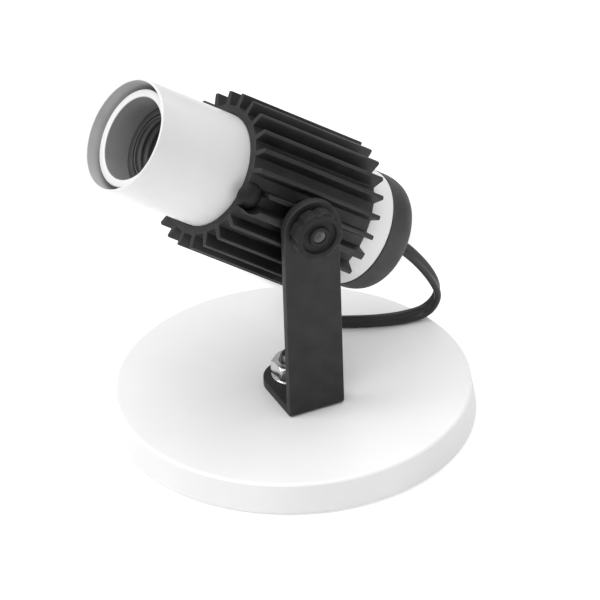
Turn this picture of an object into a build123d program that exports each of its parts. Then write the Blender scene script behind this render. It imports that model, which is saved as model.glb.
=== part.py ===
"""Adjustable table spot: a finned lamp head on a flat-bar bracket over a round base.

The origin is the centre of the base's underside and +Z is up.  The bracket's outer
face looks along -Y.  The lamp head's axis is parallel to the XZ plane, nose towards -X.
Head parts are placed by their distance along that axis, counted from the tilt pivot.
"""

from build123d import *
import os
from math import cos, pi, radians, sin, tan

# ---- base, millimetres -------------------------------------------------------------
BASE_TOP = 14.6
BASE_TOP_RADIUS = 75.0
BASE_FOOT_RADIUS = 76.8
BASE_EDGE_ROUND = 1.2
PAD_THICKNESS = 1.0
PAD_RADIUS = 70.0

# M10 bolt that clamps the bracket's foot to the base
BOLT_RADIUS = 5.0
BOLT_HOLE_RADIUS = 5.3
BOLT_HEAD_HEIGHT = 6.4
BOLT_HEAD_RECESS = 0.6
BOLT_END = 30.0
HEX_ACROSS_FLATS = 16.0
HEX_TURN = 32.5
COUNTERBORE_RADIUS = 11.0
WASHER_RADIUS = 9.0
WASHER_THICKNESS = 1.6
CLAMP_WASHER_THICKNESS = 1.0
NUT_HEIGHT = 7.0
FACE_GAP = 0.1

# ---- bracket, a bent flat bar ------------------------------------------------------
BAR_WIDTH = 25.0
BAR_THICKNESS = 4.0
LEG_OUTER_Y = -23.85
LEG_INNER_Y = LEG_OUTER_Y + BAR_THICKNESS
FOOT_BOTTOM = BASE_TOP + FACE_GAP
FOOT_TOP = FOOT_BOTTOM + BAR_THICKNESS
BEND_OUTER_RADIUS = 2.0
BEND_INNER_RADIUS = 1.0
BAR_EDGE_ROUND = 0.5
PIVOT_HEIGHT = 104.8
PIVOT_HOLE_RADIUS = 3.3

# ---- lamp head ---------------------------------------------------------------------
NOSE_RAISE = 36.3
TUBE_Y = 14.9
PIVOT_ABOVE_TUBE = 3.7

SLEEVE_FRONT = 31.2
SLEEVE_REAR = -34.7
SLEEVE_BORE_RADIUS = 24.8
SLEEVE_WALL_RADIUS = 28.0
FIN_TIP_RADIUS = 34.0
FIN_COUNT = 24
FIN_THICKNESS = 2.0
FIN_PHASE = -1.5
FIN_TIP_ROUND = 0.45

TUBE_FRONT = 78.2
TUBE_REAR = -34.6
TUBE_RADIUS = 24.4
TUBE_BORE_RADIUS = 23.3
TUBE_RIM_ROUND = 0.45

# tilt pivot: an M6 stud on the knob screws into a boss pressed in the sleeve's wall
STUD_RADIUS = 3.0
THREAD_FIT = 0.05
BOSS_SEAT = 27.0
BOSS_SHANK_END = 25.05
BOSS_SHANK_RADIUS = 4.95
BOSS_HOLE_RADIUS = 5.0
BOSS_RADIUS = 7.0
BOSS_END = 33.65
BOSS_POCKET_RADIUS = 8.2
FRICTION_WASHER_RADIUS = 7.6
FRICTION_WASHER_THICKNESS = 0.8
STUD_INNER_END = 26.2

KNOB_WASHER_RADIUS = 8.0
KNOB_WASHER_THICKNESS = 1.0
KNOB_RADIUS = 11.0
KNOB_HEIGHT = 6.4
KNOB_SCALLOPS = 8
SCALLOP_RADIUS = 2.6
SCALLOP_DEPTH = 0.85
KNOB_DISH_RADIUS = 7.8
KNOB_DISH_DEPTH = 1.5
KNOB_HUB_RADIUS = 4.4
KNOB_EDGE_ROUND = 0.9
KNOB_LOBE_ROUND = 0.8
STUD_RECESS = 0.4

# domed screw that locks the lamp tube in the sleeve
LOCK_BACK = 3.0
LOCK_TURN = 7.5
LOCK_SEAT = 27.5
LOCK_SEAT_RADIUS = 6.1
LOCK_HEAD_RADIUS = 5.8
LOCK_HEAD_EDGE = 1.0
LOCK_DOME = 3.0
LOCK_SHANK_RADIUS = 2.0

# lampholder for an E27 lamp
SKIRT_FRONT = 73.6
SKIRT_RADIUS = 21.1
SKIRT_BORE_RADIUS = 17.75
SKIRT_FLOOR = 16.0
SKIRT_REAR = 13.0
SKIRT_LIP_ROUND = 0.6
CORE_FRONT = 61.3
CORE_REAR = 29.0
CORE_RADIUS = 17.7
CORE_FLOOR = 35.0
SHELL_FRONT = 60.7
SHELL_RADIUS = 14.55
SHELL_BORE_RADIUS = 13.4
SHELL_SHEET = 1.0
SHELL_FLOOR_RADIUS = 7.0
CONTACT_SEAT = 32.0
CONTACT_RECESS_RADIUS = 6.5
CONTACT_RADIUS = 5.0
CONTACT_SHEET = 0.8
CONTACT_TIP = 35.8
CONTACT_TIP_RADIUS = 2.4
TERMINAL_OFFSET = 9.0
TERMINAL_HEAD_RADIUS = 2.8
TERMINAL_HEAD_HEIGHT = 2.0
TERMINAL_SHANK_RADIUS = 1.5
TERMINAL_SHANK_LENGTH = 3.5
LEAD_RADIUS = 0.95
LEAD_OFFSET = 1.4

# hollow M10 rod that holds the lampholder to the rear collar
ROD_RADIUS = 5.0
ROD_BORE_RADIUS = 3.9
ROD_HOLE_RADIUS = 5.05
ROD_FRONT = 20.0
ROD_REAR = -50.0
ROD_NUT_FLATS = 14.0
ROD_NUT_HEIGHT = 3.0

COLLAR_FRONT = -34.9
COLLAR_REAR = -48.4
COLLAR_FRONT_RADIUS = 24.9
COLLAR_REAR_RADIUS = 25.1
COLLAR_SPIGOT_FRONT = -26.0
COLLAR_SPIGOT_WALL = 2.4
COLLAR_LIP = 5.0
PARTITION_FRONT = -38.0
PARTITION_REAR = -41.0
CAP_FRONT = -48.6
CAP_REAR = -61.6
CAP_RADIUS = 25.3
CAP_REAR_RADIUS = 21.3
CAP_WALL = 2.0
CAP_FIT = 0.3
CAP_STRAIGHT = 4.5
CAP_COUNTERBORE = 7.5
BUSHING_HOLE_RADIUS = 6.0
BUSHING_FLANGE_RADIUS = 7.6
BUSHING_FLANGE = 1.2
BUSHING_NECK_RADIUS = 7.2
BUSHING_TIP_RADIUS = 3.9
BUSHING_END = -68.3

# ---- mains lead, a flat two-core cord ----------------------------------------------
CORD_WIDTH = 5.8
CORD_ON_BASE = 17.6
TRAIL_ANGLE = 65.5
COIL_BACK = 134.0
COIL_SIDE = 11.0
COIL_INNER_RADIUS = 26.9
COIL_OUTER_RADIUS = 37.5
COIL_BOTTOM = 1.2
COIL_TOP = 13.4
COIL_EDGE_ROUND = 1.5
LAST_TURN_RADIUS = 35.7
TIE_WIDTH = 5.0
TIE_BAND = 0.9
TIE_CLEARANCE = 0.25

# Points that the lead passes from the cap, out over the base's top, to behind the leg
LOOP_ROUTE = [
    (67.5, 15.0, 46.2),
    (74.3, 15.8, 34.8),
    (77.4, 17.2, 25.2),
    (72.2, 18.6, CORD_ON_BASE),
    (61.0, 18.7, CORD_ON_BASE),
    (52.0, 21.2, CORD_ON_BASE),
    (43.8, 24.4, CORD_ON_BASE),
    (35.0, 28.9, CORD_ON_BASE),
]
# From behind the leg, over the base's edge and down to the coil
RUN_ROUTE = [
    (34.73, 29.04, CORD_ON_BASE),
    (29.2, 31.9, CORD_ON_BASE),
    (24.9, 38.2, CORD_ON_BASE),
    (23.6, 46.8, 17.9),
    (26.2, 56.0, 20.3),
    (31.2, 64.9, 22.3),
    (36.0, 73.4, 20.8),
    (38.8, 82.6, 10.8),
    (34.9, 95.4, 4.4),
    (31.6, 106.6, 4.3),
]
# From the coil's top layer to the plug's strain relief
TAIL_ROUTE = [
    (33.09, 132.18, 10.4),
    (35.17, 136.73, 10.0),
    (37.24, 141.28, 8.2),
    (39.36, 145.92, 7.0),
    (41.45, 150.51, 6.9),
]

# flat two-pin plug
PLUG_WIDTH = 35.3
PLUG_HEIGHT = 13.6
PLUG_CORNER = 5.5
PLUG_NECK = (16.0, 11.5)
PLUG_NECK_CORNER = 4.5
PLUG_CENTRE_HEIGHT = 6.9
RELIEF_START_RADIUS = 3.7
RELIEF_END_RADIUS = 5.4
PLUG_RELIEF_START = 154.2
PLUG_RELIEF_END = 171.0
PLUG_SHOULDER_END = 181.0
PLUG_FACE = 199.0
PIN_LENGTH = 19.0
PIN_RADIUS = 2.0
PIN_TIP_ROUND = 1.2
PIN_SPACING = 18.6

# ---- directions and planes ---------------------------------------------------------
nose = Vector(-cos(radians(NOSE_RAISE)), 0, sin(radians(NOSE_RAISE)))
crown = Vector(sin(radians(NOSE_RAISE)), 0, cos(radians(NOSE_RAISE)))
outward = Vector(0, -1, 0)
tube_centre = Vector(0, TUBE_Y, PIVOT_HEIGHT) - crown * PIVOT_ABOVE_TUBE
TUBE_AXIS = Axis(tube_centre, nose)
TUBE_SIDE = Plane(origin=tube_centre, x_dir=nose, z_dir=(0, 1, 0))

trail = Vector(cos(radians(TRAIL_ANGLE)), sin(radians(TRAIL_ANGLE)), 0)
trail_side = Vector(trail.Y, -trail.X, 0)
coil_centre = trail * COIL_BACK + trail_side * COIL_SIDE

lock_direction = outward * cos(radians(LOCK_TURN)) + crown * sin(radians(LOCK_TURN))
lock_root = tube_centre + nose * (SLEEVE_FRONT - LOCK_BACK)

os.makedirs("parts", exist_ok=True)


def across(distance):
    """Plane across the lamp tube: local X towards the bracket, local Y to the crown."""
    return Plane(origin=tube_centre + nose * distance, x_dir=outward, z_dir=nose)


def pivot_plane(depth):
    """Plane square to the tilt pivot, at a distance from the tube's axis to the leg."""
    return Plane(origin=(0, TUBE_Y - depth, PIVOT_HEIGHT), x_dir=(1, 0, 0), z_dir=outward)


def plug_plane(back):
    """Plane across the plug, at a distance behind the base along the trail."""
    side = COIL_SIDE - LAST_TURN_RADIUS
    origin = trail * back + trail_side * side + Vector(0, 0, PLUG_CENTRE_HEIGHT)
    return Plane(origin=origin, x_dir=trail_side, z_dir=trail)


def outline(plane, points, rounded=(), radius=0.0):
    """Face through the points on a plane, with the numbered corners rounded."""
    with BuildSketch(plane) as sketch:
        with BuildLine():
            Polyline(*points, close=True)
        make_face()
        for number in rounded:
            fillet(sketch.vertices().sort_by_distance(points[number])[0], radius)
    return sketch.sketch


def cord_path(points):
    """Straight runs joined by the largest tangent arcs that the runs allow."""
    corners = [Vector(*point) for point in points]
    radii = []
    for before, here, after in zip(corners, corners[1:], corners[2:]):
        turn = (here - before).get_angle(after - here)
        shorter = min((here - before).length, (after - here).length)
        radii.append(0.45 * shorter / tan(radians(turn / 2)))
    return corners, radii


def save(part, name):
    part.label = name
    export_step(part, f"parts/{name}.step")


# ---- base --------------------------------------------------------------------------
counterbore_top = PAD_THICKNESS + BOLT_HEAD_HEIGHT + WASHER_THICKNESS + BOLT_HEAD_RECESS

with BuildPart() as base_disc:
    revolve(
        outline(
            Plane.XZ,
            [
                (BOLT_HOLE_RADIUS, counterbore_top),
                (COUNTERBORE_RADIUS, counterbore_top),
                (COUNTERBORE_RADIUS, PAD_THICKNESS),
                (BASE_FOOT_RADIUS, PAD_THICKNESS),
                (BASE_TOP_RADIUS, BASE_TOP),
                (BOLT_HOLE_RADIUS, BASE_TOP),
            ],
            rounded=[4],
            radius=BASE_EDGE_ROUND,
        ),
        axis=Axis.Z,
    )
save(base_disc.part, "base_disc")

with BuildPart() as base_pad:
    Cylinder(PAD_RADIUS, PAD_THICKNESS, align=(Align.CENTER, Align.CENTER, Align.MIN))
save(base_pad.part, "base_pad")

bolt_head_bottom = counterbore_top - WASHER_THICKNESS - BOLT_HEAD_HEIGHT

with BuildPart() as base_bolt:
    with BuildSketch(Plane.XY.offset(bolt_head_bottom)):
        RegularPolygon(HEX_ACROSS_FLATS / 2, 6, major_radius=False)
    extrude(amount=BOLT_HEAD_HEIGHT)
    with BuildSketch(Plane.XY.offset(bolt_head_bottom)):
        Circle(BOLT_RADIUS)
    extrude(amount=BOLT_END - bolt_head_bottom)
    chamfer(base_bolt.faces().sort_by(Axis.Z)[-1].edges(), 1.0)
save(base_bolt.part, "base_bolt")

with BuildPart() as bolt_washer:
    with BuildSketch(Plane.XY.offset(counterbore_top - WASHER_THICKNESS)):
        Circle(WASHER_RADIUS)
        Circle(BOLT_HOLE_RADIUS, mode=Mode.SUBTRACT)
    extrude(amount=WASHER_THICKNESS)
save(bolt_washer.part, "bolt_washer")

clamp_washer_bottom = FOOT_TOP + FACE_GAP

with BuildPart() as clamp_washer:
    with BuildSketch(Plane.XY.offset(clamp_washer_bottom)):
        Circle(WASHER_RADIUS)
        Circle(BOLT_HOLE_RADIUS, mode=Mode.SUBTRACT)
    extrude(amount=CLAMP_WASHER_THICKNESS)
    chamfer(clamp_washer.faces().sort_by(Axis.Z)[-1].outer_wire().edges(), 0.25)
save(clamp_washer.part, "clamp_washer")

nut_bottom = clamp_washer_bottom + CLAMP_WASHER_THICKNESS
corner_radius = HEX_ACROSS_FLATS / 2 / cos(radians(30))

with BuildPart() as clamp_nut:
    with BuildSketch(Plane.XY.offset(nut_bottom)):
        RegularPolygon(HEX_ACROSS_FLATS / 2, 6, major_radius=False, rotation=HEX_TURN)
        Circle(BOLT_RADIUS + THREAD_FIT, mode=Mode.SUBTRACT)
    extrude(amount=NUT_HEIGHT)
    # The turned chamfer leaves a cone that cuts only the six corners.
    revolve(
        outline(
            Plane.XZ,
            [
                (BOLT_RADIUS, nut_bottom),
                (corner_radius - 0.9, nut_bottom),
                (corner_radius + 0.1, nut_bottom + 0.6),
                (corner_radius + 0.1, nut_bottom + NUT_HEIGHT - 0.8),
                (corner_radius - 1.4, nut_bottom + NUT_HEIGHT),
                (BOLT_RADIUS, nut_bottom + NUT_HEIGHT),
            ],
        ),
        axis=Axis.Z,
        mode=Mode.INTERSECT,
    )
save(clamp_nut.part, "clamp_nut")

# ---- bracket -----------------------------------------------------------------------
half_bar = BAR_WIDTH / 2
leg_top = PIVOT_HEIGHT + half_bar

with BuildPart() as bracket:
    with BuildSketch(Plane.YZ):
        with BuildLine():
            Polyline(
                (LEG_OUTER_Y, FOOT_BOTTOM),
                (half_bar, FOOT_BOTTOM),
                (half_bar, FOOT_TOP),
                (LEG_INNER_Y, FOOT_TOP),
                (LEG_INNER_Y, leg_top),
                (LEG_OUTER_Y, leg_top),
                close=True,
            )
        side_view = make_face()
        fillet(side_view.vertices().sort_by_distance((LEG_OUTER_Y, FOOT_BOTTOM))[0], BEND_OUTER_RADIUS)
        fillet(side_view.vertices().sort_by_distance((LEG_INNER_Y, FOOT_TOP))[0], BEND_INNER_RADIUS)
    extrude(amount=half_bar, both=True)
    with BuildSketch(pivot_plane(TUBE_Y - LEG_INNER_Y - 1)):
        with Locations((0, half_bar)):
            Rectangle(2 * BAR_WIDTH, BAR_WIDTH)
        Circle(half_bar, mode=Mode.SUBTRACT)
    extrude(amount=BAR_THICKNESS + 2, mode=Mode.SUBTRACT)
    with BuildSketch(Plane.XY.offset(FOOT_BOTTOM - 1)):
        with Locations((0, half_bar)):
            Rectangle(2 * BAR_WIDTH, BAR_WIDTH)
        Circle(half_bar, mode=Mode.SUBTRACT)
    extrude(amount=BAR_THICKNESS + 2, mode=Mode.SUBTRACT)
    rims = bracket.faces().filter_by(Axis.Y).edges() + bracket.faces().filter_by(Axis.Z).edges()
    fillet(rims.filter_by(lambda edge: abs(edge.tangent_at(0.5).X) < 0.99), BAR_EDGE_ROUND)
    with BuildSketch(pivot_plane(TUBE_Y - LEG_INNER_Y - 1)):
        Circle(PIVOT_HOLE_RADIUS)
    extrude(amount=BAR_THICKNESS + 2, mode=Mode.SUBTRACT)
    with BuildSketch(Plane.XY.offset(FOOT_BOTTOM - 1)):
        Circle(BOLT_HOLE_RADIUS)
    extrude(amount=BAR_THICKNESS + 2, mode=Mode.SUBTRACT)
save(bracket.part, "bracket")

# ---- finned sleeve and its pivot boss ----------------------------------------------
fin_root = SLEEVE_WALL_RADIUS - 1.0

with BuildPart() as heat_sink_sleeve:
    with BuildSketch(across(SLEEVE_REAR)) as fins:
        with PolarLocations((fin_root + FIN_TIP_RADIUS) / 2, FIN_COUNT, start_angle=FIN_PHASE):
            Rectangle(FIN_TIP_RADIUS - fin_root, FIN_THICKNESS)
        tips = fins.vertices().filter_by(
            lambda corner: Vector(corner.X, corner.Y).length > SLEEVE_WALL_RADIUS + 1
        )
        fillet(tips, FIN_TIP_ROUND)
        Circle(SLEEVE_WALL_RADIUS)
        Circle(SLEEVE_BORE_RADIUS, mode=Mode.SUBTRACT)
    extrude(amount=SLEEVE_FRONT - SLEEVE_REAR)
    with BuildSketch(pivot_plane(BOSS_SEAT)):
        Circle(BOSS_POCKET_RADIUS)
    extrude(amount=FIN_TIP_RADIUS, mode=Mode.SUBTRACT)
    with BuildSketch(pivot_plane(SLEEVE_BORE_RADIUS - 5)):
        Circle(BOSS_HOLE_RADIUS)
    extrude(amount=10, mode=Mode.SUBTRACT)
    with BuildSketch(Plane(lock_root + lock_direction * LOCK_SEAT, x_dir=nose, z_dir=lock_direction)):
        Circle(LOCK_SEAT_RADIUS)
    extrude(amount=FIN_TIP_RADIUS, mode=Mode.SUBTRACT)
    with BuildSketch(Plane(lock_root + lock_direction * 20, x_dir=nose, z_dir=lock_direction)):
        Circle(LOCK_SHANK_RADIUS + THREAD_FIT)
    extrude(amount=10, mode=Mode.SUBTRACT)
save(heat_sink_sleeve.part, "heat_sink_sleeve")

with BuildPart() as pivot_boss:
    with BuildSketch(pivot_plane(BOSS_SHANK_END)):
        Circle(BOSS_SHANK_RADIUS)
    extrude(amount=BOSS_SEAT - BOSS_SHANK_END)
    with BuildSketch(pivot_plane(BOSS_SEAT)):
        Circle(BOSS_RADIUS)
    extrude(amount=BOSS_END - BOSS_SEAT)
    with BuildSketch(pivot_plane(BOSS_SHANK_END - 1)):
        Circle(STUD_RADIUS + THREAD_FIT)
    extrude(amount=BOSS_END - BOSS_SHANK_END + 2, mode=Mode.SUBTRACT)
save(pivot_boss.part, "pivot_boss")

with BuildPart() as friction_washer:
    with BuildSketch(pivot_plane(BOSS_END)):
        Circle(FRICTION_WASHER_RADIUS)
        Circle(PIVOT_HOLE_RADIUS, mode=Mode.SUBTRACT)
    extrude(amount=FRICTION_WASHER_THICKNESS)
save(friction_washer.part, "friction_washer")

lock_side = Plane(origin=lock_root, x_dir=nose, z_dir=nose.cross(lock_direction))
lock_head_top = LOCK_SEAT + LOCK_HEAD_EDGE

with BuildPart() as tube_lock_screw:
    with BuildSketch(lock_side):
        with BuildLine():
            Polyline(
                (0, lock_head_top + LOCK_DOME),
                (0, TUBE_RADIUS + THREAD_FIT),
                (LOCK_SHANK_RADIUS, TUBE_RADIUS + THREAD_FIT),
                (LOCK_SHANK_RADIUS, LOCK_SEAT),
                (LOCK_HEAD_RADIUS, LOCK_SEAT),
                (LOCK_HEAD_RADIUS, lock_head_top),
            )
            TangentArc(
                (0, lock_head_top + LOCK_DOME),
                (LOCK_HEAD_RADIUS, lock_head_top),
                tangent=(1, 0),
            )
        make_face()
    revolve(axis=Axis(lock_root, lock_direction))
save(tube_lock_screw.part, "tube_lock_screw")

# ---- knob, its stud and washer -----------------------------------------------------
leg_outer_depth = TUBE_Y - LEG_OUTER_Y
knob_washer_depth = leg_outer_depth + FACE_GAP
knob_back = knob_washer_depth + KNOB_WASHER_THICKNESS + FACE_GAP
knob_front = knob_back + KNOB_HEIGHT

with BuildPart() as knob_washer:
    with BuildSketch(pivot_plane(knob_washer_depth)):
        Circle(KNOB_WASHER_RADIUS)
        Circle(PIVOT_HOLE_RADIUS, mode=Mode.SUBTRACT)
    extrude(amount=KNOB_WASHER_THICKNESS)
save(knob_washer.part, "knob_washer")

with BuildPart() as knob:
    with BuildSketch(pivot_plane(knob_back)) as lobes:
        Circle(KNOB_RADIUS)
        with PolarLocations(KNOB_RADIUS + SCALLOP_RADIUS - SCALLOP_DEPTH, KNOB_SCALLOPS):
            Circle(SCALLOP_RADIUS, mode=Mode.SUBTRACT)
        fillet(lobes.vertices(), KNOB_LOBE_ROUND)
    extrude(amount=KNOB_HEIGHT)
    fillet(knob.faces().sort_by(Axis.Y)[0].outer_wire().edges(), KNOB_EDGE_ROUND)
    with BuildSketch(pivot_plane(knob_front - KNOB_DISH_DEPTH)):
        Circle(KNOB_DISH_RADIUS)
        Circle(KNOB_HUB_RADIUS, mode=Mode.SUBTRACT)
    extrude(amount=KNOB_DISH_DEPTH + 1, mode=Mode.SUBTRACT)
    with BuildSketch(pivot_plane(knob_back - 1)):
        Circle(STUD_RADIUS)
    extrude(amount=KNOB_HEIGHT + 2, mode=Mode.SUBTRACT)
save(knob.part, "knob")

with BuildPart() as knob_stud:
    with BuildSketch(pivot_plane(STUD_INNER_END)):
        Circle(STUD_RADIUS)
    extrude(amount=knob_front - STUD_RECESS - STUD_INNER_END)
    chamfer(knob_stud.edges().filter_by(GeomType.CIRCLE), 0.5)
save(knob_stud.part, "knob_stud")

# ---- lamp tube, rear collar and cap ------------------------------------------------
with BuildPart() as lamp_tube:
    revolve(
        outline(
            TUBE_SIDE,
            [
                (TUBE_REAR, TUBE_BORE_RADIUS),
                (TUBE_FRONT, TUBE_BORE_RADIUS),
                (TUBE_FRONT, TUBE_RADIUS),
                (TUBE_REAR, TUBE_RADIUS),
            ],
            rounded=[1, 2],
            radius=TUBE_RIM_ROUND,
        ),
        axis=TUBE_AXIS,
    )
save(lamp_tube.part, "lamp_tube")

collar_spigot_radius = TUBE_BORE_RADIUS - FACE_GAP
cap_spigot_radius = CAP_RADIUS - CAP_WALL - CAP_FIT
collar_bore_radius = cap_spigot_radius - CAP_WALL
cap_bore_radius = cap_spigot_radius + FACE_GAP
cap_shoulder = (CAP_FRONT - CAP_STRAIGHT, CAP_RADIUS - 0.1)
cap_inside = CAP_REAR + CAP_WALL

with BuildPart() as rear_collar:
    revolve(
        outline(
            TUBE_SIDE,
            [
                (COLLAR_SPIGOT_FRONT, collar_spigot_radius),
                (COLLAR_FRONT, collar_spigot_radius),
                (COLLAR_FRONT, COLLAR_FRONT_RADIUS),
                (COLLAR_REAR, COLLAR_REAR_RADIUS),
                (COLLAR_REAR, cap_spigot_radius),
                (COLLAR_REAR - COLLAR_LIP, cap_spigot_radius),
                (COLLAR_REAR - COLLAR_LIP, collar_bore_radius),
                (PARTITION_REAR, collar_bore_radius),
                (PARTITION_REAR, ROD_HOLE_RADIUS),
                (PARTITION_FRONT, ROD_HOLE_RADIUS),
                (PARTITION_FRONT, collar_spigot_radius - COLLAR_SPIGOT_WALL),
                (COLLAR_SPIGOT_FRONT, collar_spigot_radius - COLLAR_SPIGOT_WALL),
            ],
        ),
        axis=TUBE_AXIS,
    )
save(rear_collar.part, "rear_collar")

with BuildPart() as rear_cap:
    with BuildSketch(TUBE_SIDE):
        with BuildLine():
            Polyline((CAP_FRONT, cap_bore_radius), (CAP_FRONT, CAP_RADIUS), cap_shoulder)
            TangentArc(cap_shoulder, (CAP_REAR, CAP_REAR_RADIUS), tangent=(-1, -0.05))
            Polyline(
                (CAP_REAR, CAP_REAR_RADIUS),
                (CAP_REAR, BUSHING_HOLE_RADIUS),
                (cap_inside, BUSHING_HOLE_RADIUS),
                (cap_inside, CAP_REAR_RADIUS - CAP_WALL),
                (CAP_FRONT - CAP_COUNTERBORE, cap_bore_radius),
                (CAP_FRONT, cap_bore_radius),
            )
        make_face()
    revolve(axis=TUBE_AXIS)
save(rear_cap.part, "rear_cap")

bushing_front = cap_inside + FACE_GAP + BUSHING_FLANGE

with BuildPart() as cord_bushing:
    revolve(
        outline(
            TUBE_SIDE,
            [
                (bushing_front, 0),
                (bushing_front, BUSHING_FLANGE_RADIUS),
                (cap_inside + FACE_GAP, BUSHING_FLANGE_RADIUS),
                (cap_inside + FACE_GAP, BUSHING_HOLE_RADIUS - FACE_GAP),
                (CAP_REAR - FACE_GAP, BUSHING_HOLE_RADIUS - FACE_GAP),
                (CAP_REAR - FACE_GAP, BUSHING_NECK_RADIUS),
                (CAP_REAR - 1.5, BUSHING_NECK_RADIUS - 0.4),
                (BUSHING_END, BUSHING_TIP_RADIUS),
                (BUSHING_END, 0),
            ],
        ),
        axis=TUBE_AXIS,
    )
save(cord_bushing.part, "cord_bushing")

# ---- lampholder --------------------------------------------------------------------
with BuildPart() as lampholder_skirt:
    revolve(
        outline(
            TUBE_SIDE,
            [
                (SKIRT_FRONT, SKIRT_BORE_RADIUS),
                (SKIRT_FRONT, SKIRT_RADIUS),
                (SKIRT_REAR, SKIRT_RADIUS),
                (SKIRT_REAR, ROD_HOLE_RADIUS),
                (SKIRT_FLOOR, ROD_HOLE_RADIUS),
                (SKIRT_FLOOR, SKIRT_BORE_RADIUS),
            ],
            rounded=[0],
            radius=SKIRT_LIP_ROUND,
        ),
        axis=TUBE_AXIS,
    )
save(lampholder_skirt.part, "lampholder_skirt")

with BuildPart() as lampholder_core:
    revolve(
        outline(
            TUBE_SIDE,
            [
                (CORE_REAR, 0),
                (CORE_REAR, CORE_RADIUS),
                (CORE_FRONT, CORE_RADIUS),
                (CORE_FRONT, SHELL_RADIUS + THREAD_FIT),
                (CORE_FLOOR, SHELL_RADIUS + THREAD_FIT),
                (CORE_FLOOR, CONTACT_RECESS_RADIUS),
                (CONTACT_SEAT, CONTACT_RECESS_RADIUS),
                (CONTACT_SEAT, 0),
            ],
        ),
        axis=TUBE_AXIS,
    )
    with BuildSketch(across(CORE_REAR)):
        with Locations((0, TERMINAL_OFFSET), (0, -TERMINAL_OFFSET)):
            Circle(TERMINAL_SHANK_RADIUS + THREAD_FIT)
    extrude(amount=TERMINAL_SHANK_LENGTH + 0.5, mode=Mode.SUBTRACT)
save(lampholder_core.part, "lampholder_core")

with BuildPart() as lampholder_shell:
    revolve(
        outline(
            TUBE_SIDE,
            [
                (CORE_FLOOR, SHELL_FLOOR_RADIUS),
                (CORE_FLOOR, SHELL_RADIUS),
                (SHELL_FRONT, SHELL_RADIUS),
                (SHELL_FRONT, SHELL_BORE_RADIUS),
                (CORE_FLOOR + SHELL_SHEET, SHELL_BORE_RADIUS),
                (CORE_FLOOR + SHELL_SHEET, SHELL_FLOOR_RADIUS),
            ],
        ),
        axis=TUBE_AXIS,
    )
save(lampholder_shell.part, "lampholder_shell")

with BuildPart() as centre_contact:
    revolve(
        outline(
            TUBE_SIDE,
            [
                (CONTACT_SEAT, 0),
                (CONTACT_SEAT, CONTACT_RADIUS),
                (CONTACT_SEAT + CONTACT_SHEET, CONTACT_RADIUS),
                (CONTACT_SEAT + 2 * CONTACT_SHEET, (CONTACT_RADIUS + CONTACT_TIP_RADIUS) / 2),
                (CONTACT_TIP, CONTACT_TIP_RADIUS),
                (CONTACT_TIP, 0),
            ],
        ),
        axis=TUBE_AXIS,
    )
save(centre_contact.part, "centre_contact")

with BuildPart() as terminal_screws:
    with BuildSketch(across(CORE_REAR - TERMINAL_HEAD_HEIGHT)):
        with Locations((0, TERMINAL_OFFSET), (0, -TERMINAL_OFFSET)):
            Circle(TERMINAL_HEAD_RADIUS)
    extrude(amount=TERMINAL_HEAD_HEIGHT)
    with BuildSketch(across(CORE_REAR)):
        with Locations((0, TERMINAL_OFFSET), (0, -TERMINAL_OFFSET)):
            Circle(TERMINAL_SHANK_RADIUS)
    extrude(amount=TERMINAL_SHANK_LENGTH)
save(terminal_screws.part, "terminal_screws")

with BuildPart() as threaded_rod:
    with BuildSketch(across(ROD_REAR)):
        Circle(ROD_RADIUS)
        Circle(ROD_BORE_RADIUS, mode=Mode.SUBTRACT)
    extrude(amount=ROD_FRONT - ROD_REAR)
save(threaded_rod.part, "threaded_rod")

rod_nut_places = [
    SKIRT_FLOOR,
    SKIRT_REAR - ROD_NUT_HEIGHT,
    PARTITION_FRONT,
    PARTITION_REAR - ROD_NUT_HEIGHT,
]

with BuildPart() as rod_nuts:
    for place in rod_nut_places:
        with BuildSketch(across(place)):
            RegularPolygon(ROD_NUT_FLATS / 2, 6, major_radius=False)
            Circle(ROD_HOLE_RADIUS, mode=Mode.SUBTRACT)
        extrude(amount=ROD_NUT_HEIGHT)
save(rod_nuts.part, "rod_nuts")

lead_start = CORE_REAR - TERMINAL_HEAD_HEIGHT

with BuildPart() as inner_leads:
    for sign in (1, -1):
        with BuildLine(TUBE_SIDE) as lead:
            FilletPolyline(
                (lead_start, sign * TERMINAL_OFFSET),
                (lead_start - 2.6, sign * TERMINAL_OFFSET),
                (ROD_FRONT + 1.6, sign * LEAD_OFFSET),
                (bushing_front, sign * LEAD_OFFSET),
                radius=1.5,
            )
        route = lead.wire()
        with BuildSketch(Plane(route @ 0, z_dir=route % 0)):
            Circle(LEAD_RADIUS)
        sweep(path=route)
save(inner_leads.part, "inner_leads")

# ---- mains lead --------------------------------------------------------------------
cord_start = tube_centre + nose * (BUSHING_END - FACE_GAP)
cord_heading = tube_centre + nose * (BUSHING_END - 7.2)


def cord_tube(name, points):
    """One plain round tube along a stretch of the lead."""
    corners, radii = cord_path(points)
    with BuildPart() as tube:
        with BuildLine() as path:
            FilletPolyline(*corners, radius=radii)
        route = path.wire()
        with BuildSketch(Plane(route @ 0, z_dir=route % 0)):
            Circle(CORD_WIDTH / 2)
        sweep(path=route)
    length = route.length
    ideal = pi * (CORD_WIDTH / 2) ** 2 * length
    print(name, "radii", [round(r, 1) for r in radii], "length", round(length, 1))
    print(name, "volume over section times length", round(tube.part.volume / ideal, 4))
    save(tube.part, name)


cord_tube("cord_loop", [tuple(cord_start), tuple(cord_heading)] + LOOP_ROUTE)
cord_tube("cord_run", RUN_ROUTE)
cord_tube("cord_tail", TAIL_ROUTE)

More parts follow.
